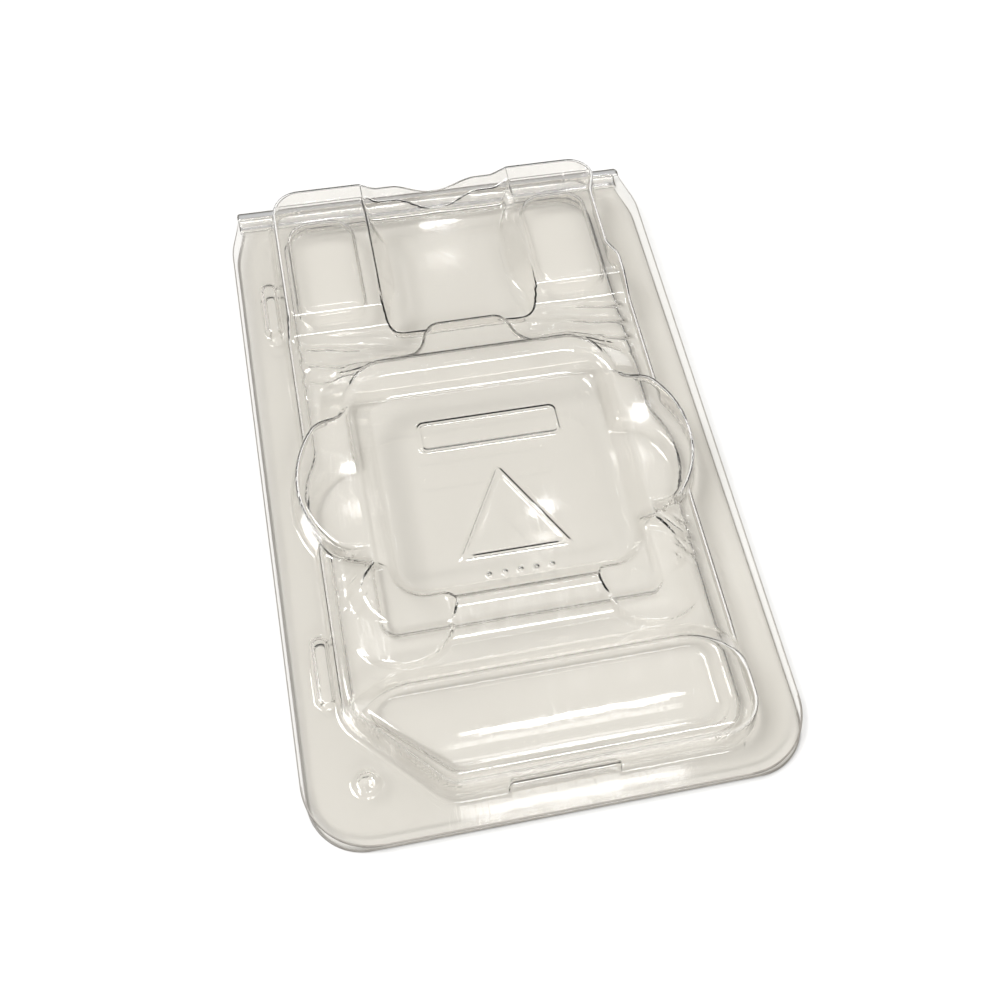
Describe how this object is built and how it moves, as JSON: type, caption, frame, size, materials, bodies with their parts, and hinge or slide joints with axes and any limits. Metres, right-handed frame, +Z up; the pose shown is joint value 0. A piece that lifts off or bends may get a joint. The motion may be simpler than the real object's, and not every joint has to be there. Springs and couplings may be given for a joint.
{
  "type": "processor clamshell pack",
  "caption": "Clear thermoformed clamshell pack with a hinged lid, square processor pocket, front tray and snap ribs; shown closed and empty.",
  "frame": {"origin": "on the surface the closed pack stands on, below the middle of its outline", "axes": "+Z up through the lid, +Y towards the rolled hinge at the back, +X to the right with the hinge behind"},
  "size_m": [0.0728, 0.1148, 0.0104],
  "materials": {
    "clear_sheet": "clear glossy PET sheet with a faint warm grey tint"
  },
  "bodies": {
    "base": {"base_flange": "clear_sheet", "base_processor_pocket": "clear_sheet", "base_front_bin": "clear_sheet", "base_rear_plug_left": "clear_sheet", "base_rear_plug_right": "clear_sheet", "base_rear_web": "clear_sheet", "base_rear_snap_rib": "clear_sheet", "base_front_snap_rib": "clear_sheet", "base_corner_stud": "clear_sheet", "base_hinge_leaf": "clear_sheet"},
    "lid": {"lid_flange": "clear_sheet", "lid_square_cover": "clear_sheet", "lid_front_tray": "clear_sheet", "lid_rear_block_left": "clear_sheet", "lid_rear_block_right": "clear_sheet", "lid_rear_channel": "clear_sheet", "lid_rear_snap_rib": "clear_sheet", "lid_front_snap_rib": "clear_sheet", "lid_corner_button": "clear_sheet", "lid_hinge_leaf": "clear_sheet", "lid_embossed_bar": "clear_sheet", "lid_embossed_triangle": "clear_sheet", "lid_embossed_dots": "clear_sheet"}
  },
  "joints": [
    {"name": "lid_hinge", "type": "hinge", "parent": "base", "child": "lid", "pos_m": [0, 0.05744, 0.00184], "axis": [-1, 0, 0], "range_deg": [0, 180]}
  ]
}
